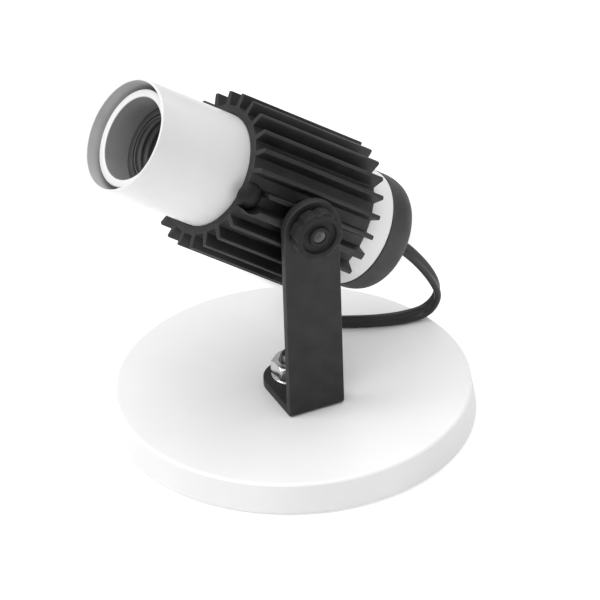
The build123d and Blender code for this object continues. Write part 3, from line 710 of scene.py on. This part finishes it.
def hexagon(across_flats, corner):
    """A limit for the lathe that trims round outlines to a hexagon."""
    def shape(s, r, a):
        away = (a - corner) % (pi / 3) - pi / 6
        return min(r, across_flats / 2 / cos(away))
    return shape


nut_outline = [(19.85, 5.05), (19.85, 7.9), (20.0, 8.2), (20.2, 8.6), (20.4, 8.95), (20.6, 9.3)]
nut_outline += [(25.7, 9.3), (25.9, 9.0), (26.1, 8.7), (26.35, 8.35), (26.6, 8.0), (26.75, 7.7)]
nut_outline += [(26.8, 7.4), (26.8, 5.9), (26.3, 5.2), (26.3, 5.05)]
hex_nut = lathe("hex_nut", nut_outline, UPRIGHT, 216, hexagon(NUT_FLATS, NUT_TURN), NUT_TURN)
finish_piece(hex_nut, zinc, "base", "zinc_steel", "clamp_nut", smooth=25)

washer_outline = rounded(
    [(WASHER_BOTTOM, BOLT_HOLE_RADIUS), (WASHER_BOTTOM, WASHER_RADIUS), (WASHER_TOP, WASHER_RADIUS),
     (WASHER_TOP, BOLT_HOLE_RADIUS)], {1: 0.2, 2: 0.3}, 3)
turned("flat_washer", washer_outline, UPRIGHT, 120, zinc, "base", "zinc_steel", "clamp_washer")

# ---- bracket ---------------------------------------------------------------------------
BAR_HALF_WIDTH = 12.5
BAR_HALF_THICKNESS = 2.0
BAR_EDGE = 0.55
FOOT_MIDDLE = 16.7
LEG_MIDDLE = -21.85
BEND_INSIDE = 1.0
BEND_MIDDLE = BEND_INSIDE + BAR_HALF_THICKNESS
BEND_OUTSIDE = BEND_MIDDLE + BAR_HALF_THICKNESS
CORNER_ROUND = 2.0
PIVOT_HOLE_RADIUS = 3.5
FOOT_HOLE_RADIUS = 5.35
END_STEPS = 18
BEND_STEPS = 24
foot_run = BAR_HALF_WIDTH - (LEG_MIDDLE + BEND_MIDDLE)
bend_run = BEND_MIDDLE * pi / 2
leg_run = (PIVOT_HEIGHT + BAR_HALF_WIDTH) - (FOOT_MIDDLE + BEND_MIDDLE)
bar_length = foot_run + bend_run + leg_run


def bend_outside(a):
    """Distance from the bend's centre to its outer corner, a square with a rounded corner."""
    corner = BEND_OUTSIDE - CORNER_ROUND
    if tan(a) < corner / BEND_OUTSIDE:
        return BEND_OUTSIDE / cos(a)
    if tan(a) > BEND_OUTSIDE / corner:
        return BEND_OUTSIDE / sin(a)
    reach = corner * (sin(a) + cos(a))
    return reach + sqrt(reach * reach - 2 * corner ** 2 + CORNER_ROUND ** 2)


def on_bar(t, w, v):
    """Point at a distance along the bent bar, across it, and out from its middle."""
    if t < foot_run:
        return Vector((w, BAR_HALF_WIDTH - t, FOOT_MIDDLE - v))
    if t < foot_run + bend_run:
        a = (t - foot_run) / BEND_MIDDLE
        share = (v + BAR_HALF_THICKNESS) / (2 * BAR_HALF_THICKNESS)
        reach = BEND_INSIDE + (bend_outside(a) - BEND_INSIDE) * share
        return Vector((w, LEG_MIDDLE + BEND_MIDDLE - reach * sin(a),
                       FOOT_MIDDLE + BEND_MIDDLE - reach * cos(a)))
    return Vector((w, LEG_MIDDLE - v, FOOT_MIDDLE + BEND_MIDDLE + t - foot_run - bend_run))


def bar_stations():
    """Places along the bar: its round foot end, the foot, the bend, the leg, its round top."""
    stations = [("start", radians(90 * k / END_STEPS)) for k in range(1, END_STEPS + 1)]
    for k in range(1, 6):
        stations.append(("middle", BAR_HALF_WIDTH + (foot_run - BAR_HALF_WIDTH) * k / 6))
    for k in range(BEND_STEPS + 1):
        stations.append(("middle", foot_run + bend_run * k / BEND_STEPS))
    straight = bar_length - BAR_HALF_WIDTH - foot_run - bend_run
    for k in range(1, 10):
        stations.append(("middle", foot_run + bend_run + straight * k / 10))
    stations += [("end", radians(90 * k / END_STEPS)) for k in range(END_STEPS, 0, -1)]
    return stations


def flat_bar():
    """The bar with softened edges, bent to an L and round at both ends."""
    stations = bar_stations()
    levels = []
    for k in range(4, -1, -1):
        a = radians(90 * k / 4)
        levels.append((-BAR_HALF_THICKNESS + BAR_EDGE * (1 - sin(a)), BAR_EDGE * (1 - cos(a))))
    levels += [(-v, d) for v, d in reversed(levels)]
    verts, faces, loops = [], [], []
    for v, d in levels:
        r = BAR_HALF_WIDTH - d
        right, left = [], []
        for kind, value in stations:
            if kind == "start":
                t, w = BAR_HALF_WIDTH - r * cos(value), r * sin(value)
            elif kind == "end":
                t, w = bar_length - BAR_HALF_WIDTH + r * cos(value), r * sin(value)
            else:
                t, w = value, r
            right.append(len(verts))
            verts.append(on_bar(t, w, v) * MM)
            left.append(len(verts))
            verts.append(on_bar(t, -w, v) * MM)
        tip = len(verts)
        verts.append(on_bar(BAR_HALF_WIDTH - r, 0, v) * MM)
        top = len(verts)
        verts.append(on_bar(bar_length - BAR_HALF_WIDTH + r, 0, v) * MM)
        loops.append((tip, right, top, left))
    for one, two in zip(loops, loops[1:]):
        faces += bridge([one[0]] + one[1] + [one[2]] + one[3][::-1],
                        [two[0]] + two[1] + [two[2]] + two[3][::-1])
    for tip, right, top, left in (loops[0], loops[-1]):
        faces.append((tip, right[0], left[0]))
        faces.append((top, right[-1], left[-1]))
        for k in range(len(right) - 1):
            faces.append((right[k], right[k + 1], left[k + 1], left[k]))
    return mesh_object("bent_bar", verts, faces)


bent_bar = flat_bar()
cut(bent_bar, rod(PIVOT, 20.0, 50.0, PIVOT_HOLE_RADIUS))
cut(bent_bar, rod(UPRIGHT, 10.0, 25.0, FOOT_HOLE_RADIUS))
finish_piece(bent_bar, bar_black, "bracket", "black_bar", "bracket", smooth=30)

# ---- finned sleeve ---------------------------------------------------------------------
SLEEVE_FRONT = 31.2
SLEEVE_REAR = -34.7
SLEEVE_BORE = 24.8
SLEEVE_WALL = 28.0
SLEEVE_EDGE = 0.3
FIN_COUNT = 24
FIN_STEP = 15.0
FIN_PHASE = -1.5
FIN_TIP = 33.95
FIN_CROWN = 0.03
FIN_HALF_TIP = 0.98
FIN_HALF_ROOT = 1.2
WIDE_FIN_HALF_TIP = 1.6       # the fin on the pivot's side is wider than the rest
WIDE_FIN_HALF_ROOT = 1.75
ROOT_FILLET = 0.55
TIP_ROUND = 0.5
BOSS_SEAT = 27.0
BOSS_POCKET_RADIUS = 8.2
LOCK_SEAT = 27.5
LOCK_POCKET_RADIUS = 6.15
PAST_FINS = 40.0


def fin_outline():
    """Points round the sleeve's section: a root fillet, flank and rounded tip per fin."""
    wall, tip = SLEEVE_WALL, FIN_TIP
    points = []
    for k in range(FIN_COUNT):
        middle = radians(FIN_PHASE + FIN_STEP * k)
        half_tip = WIDE_FIN_HALF_TIP if k == 0 else FIN_HALF_TIP
        half_root = WIDE_FIN_HALF_ROOT if k == 0 else FIN_HALF_ROOT
        next_root = WIDE_FIN_HALF_ROOT if k == FIN_COUNT - 1 else FIN_HALF_ROOT
        side = []
        for j in range(4):
            a = radians(90 * j / 3)
            side.append((wall + ROOT_FILLET * (1 - cos(a)), half_root + ROOT_FILLET * (1 - sin(a))))
        for j in range(5):
            a = radians(90 * j / 4)
            side.append((tip - TIP_ROUND * (1 - sin(a)), half_tip - TIP_ROUND * (1 - cos(a))))
        side.append((tip + FIN_CROWN, 0.0))
        full = [(r, -w) for r, w in side] + [(r, w) for r, w in reversed(side[:-1])]
        for r, w in full:
            points.append((middle + atan2(w, r), sqrt(r * r + w * w)))
        gap_start = middle + atan2(half_root + ROOT_FILLET, wall)
        gap_end = radians(FIN_PHASE + FIN_STEP * (k + 1)) - atan2(next_root + ROOT_FILLET, wall)
        for j in (1, 2):
            points.append((gap_start + (gap_end - gap_start) * j / 3, wall))
    return points


def shrunk(outline, amount):
    """The outline moved inwards along its own normals, as (angle, radius) points."""
    flat = [Vector((r * cos(a), r * sin(a))) for a, r in outline]
    result = []
    for i, (a, r) in enumerate(outline):
        along = flat[(i + 1) % len(flat)] - flat[i - 1]
        moved = flat[i] + Vector((-along.y, along.x)).normalized() * amount
        result.append((atan2(moved.y, moved.x), moved.length))
    return result


def finned_sleeve():
    """The sleeve: its bore's ring at each end, and between them the finned outline."""
    outline = fin_outline()
    start, end = SLEEVE_REAR, SLEEVE_FRONT
    levels = [(start, None)]
    for k in range(4):
        a = radians(90 * k / 3)
        levels.append((start + SLEEVE_EDGE * (1 - cos(a)), SLEEVE_EDGE * (1 - sin(a))))
    levels += [(end + start - s, d) for s, d in reversed(levels[1:])]
    levels.append((end, None))
    verts, faces, rings = [], [], []
    for s, inset in levels:
        loop = outline if inset is None else shrunk(outline, inset)
        rings.append(range(len(verts), len(verts) + len(loop)))
        for a, r in loop:
            radius = SLEEVE_BORE if inset is None else r
            verts.append(HEAD @ Vector((s, radius * cos(a), radius * sin(a))))
    for one, two in zip(rings, rings[1:] + rings[:1]):
        faces += bridge(one, two)
    return mesh_object("finned_sleeve", verts, faces)


sleeve = finned_sleeve()
boss_side = HEAD @ Matrix.Rotation(radians(90), 4, "Z")
cut(sleeve, rod(boss_side, BOSS_SEAT, PAST_FINS, BOSS_POCKET_RADIUS, (0.0, PIVOT_ABOVE_TUBE)))
cut(sleeve, rod(LOCK, LOCK_SEAT, PAST_FINS, LOCK_POCKET_RADIUS))
finish_piece(sleeve, fin_black, "head", "black_sleeve", "heat_sink_sleeve", smooth=28)

# Outlines on the pivot's axis: distance from the tube's middle plane, then radius.
boss_outline = rounded(
    [(25.1, 3.2), (25.1, 4.9), (27.05, 4.9), (27.05, 7.0), (33.6, 7.0), (33.6, 3.2)], {4: 0.4}, 3)
turned("pivot_boss_turned", boss_outline, PIVOT, 96, bar_black, "head", "black_bar", "pivot_boss")

friction_outline = rounded(
    [(33.66, 3.4), (33.66, 7.6), (34.44, 7.6), (34.44, 3.4)], {1: 0.25, 2: 0.25}, 3)
turned("friction_ring", friction_outline, PIVOT, 96, rubber_black, "head", "washer_nylon",
       "friction_washer")


# ---- lock screw ------------------------------------------------------------------------
def dome_outline(edge_radius, seat, edge, rise):
    """A shank, a short straight edge and a dome over it."""
    radius = (edge_radius ** 2 + rise ** 2) / (2 * rise)
    half = atan2(edge_radius, radius - rise)
    points = [(24.5, 0), (24.5, 1.9), (seat, 1.9), (seat, edge_radius - 0.2),
              (seat + 0.2, edge_radius)]
    for k in range(13):
        a = half * (1 - k / 12)
        points.append((seat + edge + rise - radius * (1 - cos(a)), radius * sin(a)))
    return points


turned("lock_screw", dome_outline(5.8, LOCK_SEAT, 1.0, 3.0), LOCK, 96, screw_black, "head",
       "black_screw", "tube_lock_screw", smooth=45)

# ---- knob ------------------------------------------------------------------------------
LEG_OUTSIDE = 23.85
KNOB_GAP = 1.2
KNOB_HEIGHT = 6.4
KNOB_SCALLOPS = 8
SCALLOP_DEPTH = 0.95
SCALLOP_FROM = 8.6            # radius inside which the knob stays round
SCALLOP_FADE = 1.6
leg_face = TUBE_Y + LEG_OUTSIDE
knob_back = leg_face + KNOB_GAP
knob_front = knob_back + KNOB_HEIGHT
dish_floor = knob_front - 1.5
hub_face = knob_front - 0.1
stud_tip = knob_front - 0.45


def scallops(s, r, a):
    """Eight shallow hollows round the rim; the dish inside stays round."""
    if r < SCALLOP_FROM:
        return r
    hollow = max(0.0, cos(KNOB_SCALLOPS * a)) ** 2
    return r - SCALLOP_DEPTH * hollow * min(1.0, (r - SCALLOP_FROM) / SCALLOP_FADE)


knob_outline = rounded(
    [(knob_back, 2.9), (knob_back, 10.7), (knob_front, 11.0), (knob_front, 7.8),
     (dish_floor, 7.4), (dish_floor, 4.6), (hub_face, 4.3), (hub_face, 2.9)],
    {1: 0.5, 2: 1.2, 3: 0.45, 4: 0.5, 5: 0.4, 6: 0.3}, 5)
clamp_knob = lathe("clamp_knob", knob_outline, PIVOT, 256, scallops)
finish_piece(clamp_knob, knob_black, "knob", "black_knob", "knob", smooth=30)

stud_outline = rounded(
    [(26.25, 0), (26.25, 2.95), (stud_tip, 2.95), (stud_tip, 0)], {1: 0.5, 2: 0.4}, 3)
turned("clamp_stud", stud_outline, PIVOT, 64, dark_steel, "knob", "zinc_steel", "knob_stud")

ring_outline = rounded(
    [(leg_face + 0.1, 3.4), (leg_face + 0.1, 8.0), (leg_face + 1.1, 8.0), (leg_face + 1.1, 3.4)],
    {1: 0.25, 2: 0.3}, 3)
turned("knob_ring", ring_outline, PIVOT, 96, screw_black, "washer", "black_screw", "knob_washer")

# ---- lamp tube, collar and cap ---------------------------------------------------------
# Outlines on the tube's axis: distance towards the nose, then radius.
TUBE_REAR = -34.6
TUBE_FRONT = 78.2
TUBE_BORE = 23.3
TUBE_RADIUS = 24.4
BORE_MARGIN = 0.1

tube_outline = rounded(
    [(TUBE_REAR, TUBE_BORE), (TUBE_FRONT, TUBE_BORE), (TUBE_FRONT, TUBE_RADIUS),
     (TUBE_REAR, TUBE_RADIUS)], {1: 0.45, 2: 0.5}, 5)
lamp_tube = turned("white_tube", tube_outline, HEAD, 224, white_enamel, "head", "white_tube",
                   "lamp_tube")
# Painted shade inside the tube's bore.
paint_bore_shade(lamp_tube, TUBE_BORE + BORE_MARGIN, tube_bore_painted_shade)

collar_outline = rounded(
    [(-26.0, 23.2), (-34.9, 23.2), (-34.9, 24.9), (-48.4, 25.1), (-48.4, 23.0), (-53.4, 23.0),
     (-53.4, 21.0), (-41.0, 21.0), (-41.0, 5.1), (-38.0, 5.1), (-38.0, 20.8), (-26.0, 20.8)],
    {2: 0.5, 3: 0.5}, 4)
turned("white_collar", collar_outline, HEAD, 192, collar_enamel, "head", "white_collar",
       "rear_collar")

CAP_SHOULDER = -53.1
CAP_DEPTH = 8.5
CAP_REAR_RADIUS = 21.3
CAP_SWELL = 3.95


def cap_shell():
    """A cup whose back edge is a quarter of an ellipse."""
    outer = [(-48.6, 23.15), (-48.6, 25.0), (-48.9, 25.3), (CAP_SHOULDER, 25.25)]
    for k in range(1, 11):
        a = radians(90 * k / 10)
        outer.append((CAP_SHOULDER - CAP_DEPTH * sin(a), CAP_REAR_RADIUS + CAP_SWELL * cos(a)))
    inner = [(-61.6, 6.0), (-59.6, 6.0), (-59.6, 19.4), (-56.1, 23.15)]
    return outer + inner


turned("rear_cap_moulded", cap_shell(), HEAD, 192, cap_black, "head", "black_cap", "rear_cap")


BUSHING_RIBS = 3
BUSHING_RIB_PITCH = 1.8
BUSHING_TAPER = 0.95


def bushing_outline():
    """A flange inside the cap, a neck in its hole, and three tapering ribs outside."""
    outline = [(-58.35, 0), (-58.35, 7.5), (-59.5, 7.5), (-59.5, 5.85), (-61.7, 5.85),
               (-61.7, 7.1), (-62.2, 7.1)]
    for k in range(BUSHING_RIBS):
        s = -62.8 - k * BUSHING_RIB_PITCH
        r = 6.6 - BUSHING_TAPER * k
        outline += [(s, r), (s - 0.2, r - 0.7), (s - 0.8, r - 0.8), (s - 1.0, r - 0.25)]
    outline += [(-68.0, 3.9), (-68.3, 3.6), (-68.3, 0)]
    return outline


turned("cord_grommet", bushing_outline(), HEAD, 96, rubber_black, "head", "black_rubber",
       "cord_bushing")

# ---- lampholder ------------------------------------------------------------------------
SKIRT_BORE = 17.75
SHELL_START = 36.0
SHELL_LENGTH = 24.7
SHELL_FRONT = 60.7
SHELL_MIDDLE_RADIUS = 13.75
SHELL_INSIDE = -0.1           # how far each wall stands from the middle radius
SHELL_OUTSIDE = 0.28
SHELL_SEGMENTS = 120
SHELL_STEPS = 84
SOCKET_PITCH = 3.63
SOCKET_WAVE = 0.42

skirt_outline = rounded(
    [(73.6, SKIRT_BORE), (73.6, 21.05), (13.0, 21.05), (13.0, 5.1), (16.0, 5.1),
     (16.0, SKIRT_BORE)], {0: 0.8, 1: 0.6}, 6)
skirt = turned("white_skirt", skirt_outline, HEAD, 192, socket_white, "head", "white_plastic",
               "lampholder_skirt")
# Painted shade inside the skirt's bore.
paint_bore_shade(skirt, SKIRT_BORE + BORE_MARGIN, socket_bore_painted_shade)

core_outline = rounded(
    [(29.0, 0), (29.0, 17.7), (61.3, 17.7), (61.3, 14.65), (35.0, 14.65), (35.0, 6.5),
     (32.0, 6.5), (32.0, 0)], {2: 0.6, 3: 0.5}, 3)
turned("socket_core", core_outline, HEAD, 160, well_black, "head", "black_moulding",
       "lampholder_core")


def threaded_shell():
    """The rolled screw shell: one wavy wall inside, one outside, joined at both ends."""
    verts, faces, rings = [], [], []

    def add_ring(s, radius_at):
        rings.append(range(len(verts), len(verts) + SHELL_SEGMENTS))
        for k in range(SHELL_SEGMENTS):
            a = 2 * pi * k / SHELL_SEGMENTS
            r = radius_at(a)
            verts.append(HEAD @ Vector((s, r * cos(a), r * sin(a))))

    for offset, outwards in ((SHELL_INSIDE, True), (SHELL_OUTSIDE, False)):
        for i in range(SHELL_STEPS + 1):
            t = i / SHELL_STEPS if outwards else 1 - i / SHELL_STEPS
            s = SHELL_START + SHELL_LENGTH * t
            fade = max(0.0, min(1.0, (SHELL_FRONT - s) / 2.5, (s - SHELL_START) / 2.0))
            add_ring(s, lambda a: SHELL_MIDDLE_RADIUS
                     + cos(2 * pi * s / SOCKET_PITCH + a) * SOCKET_WAVE * fade + offset)
    for s, r in ((35.05, 14.0), (35.05, 7.0), (SHELL_START, 7.0)):
        add_ring(s, lambda a: r)
    for one, two in zip(rings, rings[1:] + rings[:1]):
        faces += bridge(one, two)
    return mesh_object("screw_shell", verts, faces)


finish_piece(threaded_shell(), shell_metal, "head", "brass", "lampholder_shell", smooth=60)

contact_outline = rounded(
    [(32.05, 0), (32.05, 5.0), (32.8, 5.0), (33.6, 3.7), (35.8, 2.4), (35.8, 0)],
    {2: 0.2, 4: 0.5}, 3)
turned("spring_contact", contact_outline, HEAD, 64, shell_metal, "head", "brass",
       "centre_contact", smooth=40)

# ---- nodes carried over from the solid model: hidden inside or underneath --------------
for node, material in (("base_pad", felt), ("base_bolt", dark_steel), ("bolt_washer", zinc),
                       ("threaded_rod", zinc), ("rod_nuts", zinc), ("terminal_screws", pin_metal),
                       ("inner_leads", cable_black)):
    obj = nodes[node]
    for place in obj.material_slots:
        place.material = material
    if not obj.material_slots:
        obj.data.materials.append(material)

# ---- studio ----------------------------------------------------------------------------
FLOOR_REACH = 6.0
FLOOR_GLOW = 0.2
LIGHT_TARGET = (0, 0, 0.08)
LIGHTS = (                    # name, place, diameter and power
    ("left", (-1.3, 0.3, 1.1), 1.0, 10.0),
    ("right", (1.1, 0.7, 1.2), 1.3, 3.0),
    ("front", (-0.7, -1.3, 1.3), 1.4, 3.0),
    ("top", (-0.1, 0.0, 1.9), 2.4, 24.0),
)
WORLD_STRENGTH = 0.4


def make_floor():
    """A wide white floor that glows a little, so it stays white in the picture."""
    mat = bpy.data.materials.new("studio_floor")
    mat.use_nodes = True
    shader = mat.node_tree.nodes["Principled BSDF"]
    shader.inputs["Base Color"].default_value = (0.95, 0.95, 0.95, 1)
    shader.inputs["Roughness"].default_value = 0.8
    shader.inputs["Emission Color"].default_value = (1, 1, 1, 1)
    shader.inputs["Emission Strength"].default_value = FLOOR_GLOW
    corners = [(x * FLOOR_REACH, y * FLOOR_REACH, 0) for x, y in ((-1, -1), (1, -1), (1, 1), (-1, 1))]
    floor = mesh_object("studio_floor", corners, [(0, 1, 2, 3)])
    floor.data.materials.append(mat)


def area_light(name, place, target, size, power):
    """A round area light that looks at a point."""
    data = bpy.data.lights.new(name, "AREA")
    data.shape = "DISK"
    data.size = size
    data.energy = power
    light = bpy.data.objects.new(name, data)
    light.location = place
    light.rotation_euler = (Vector(target) - Vector(place)).to_track_quat("-Z", "Y").to_euler()
    bpy.context.scene.collection.objects.link(light)


make_floor()
for name, place, size, power in LIGHTS:
    area_light(name, place, LIGHT_TARGET, size, power)

world = bpy.data.worlds.new("studio")
world.use_nodes = True
world.node_tree.nodes["Background"].inputs["Color"].default_value = (1, 1, 1, 1)
world.node_tree.nodes["Background"].inputs["Strength"].default_value = WORLD_STRENGTH
bpy.context.scene.world = world
bpy.context.scene.view_settings.view_transform = "Standard"
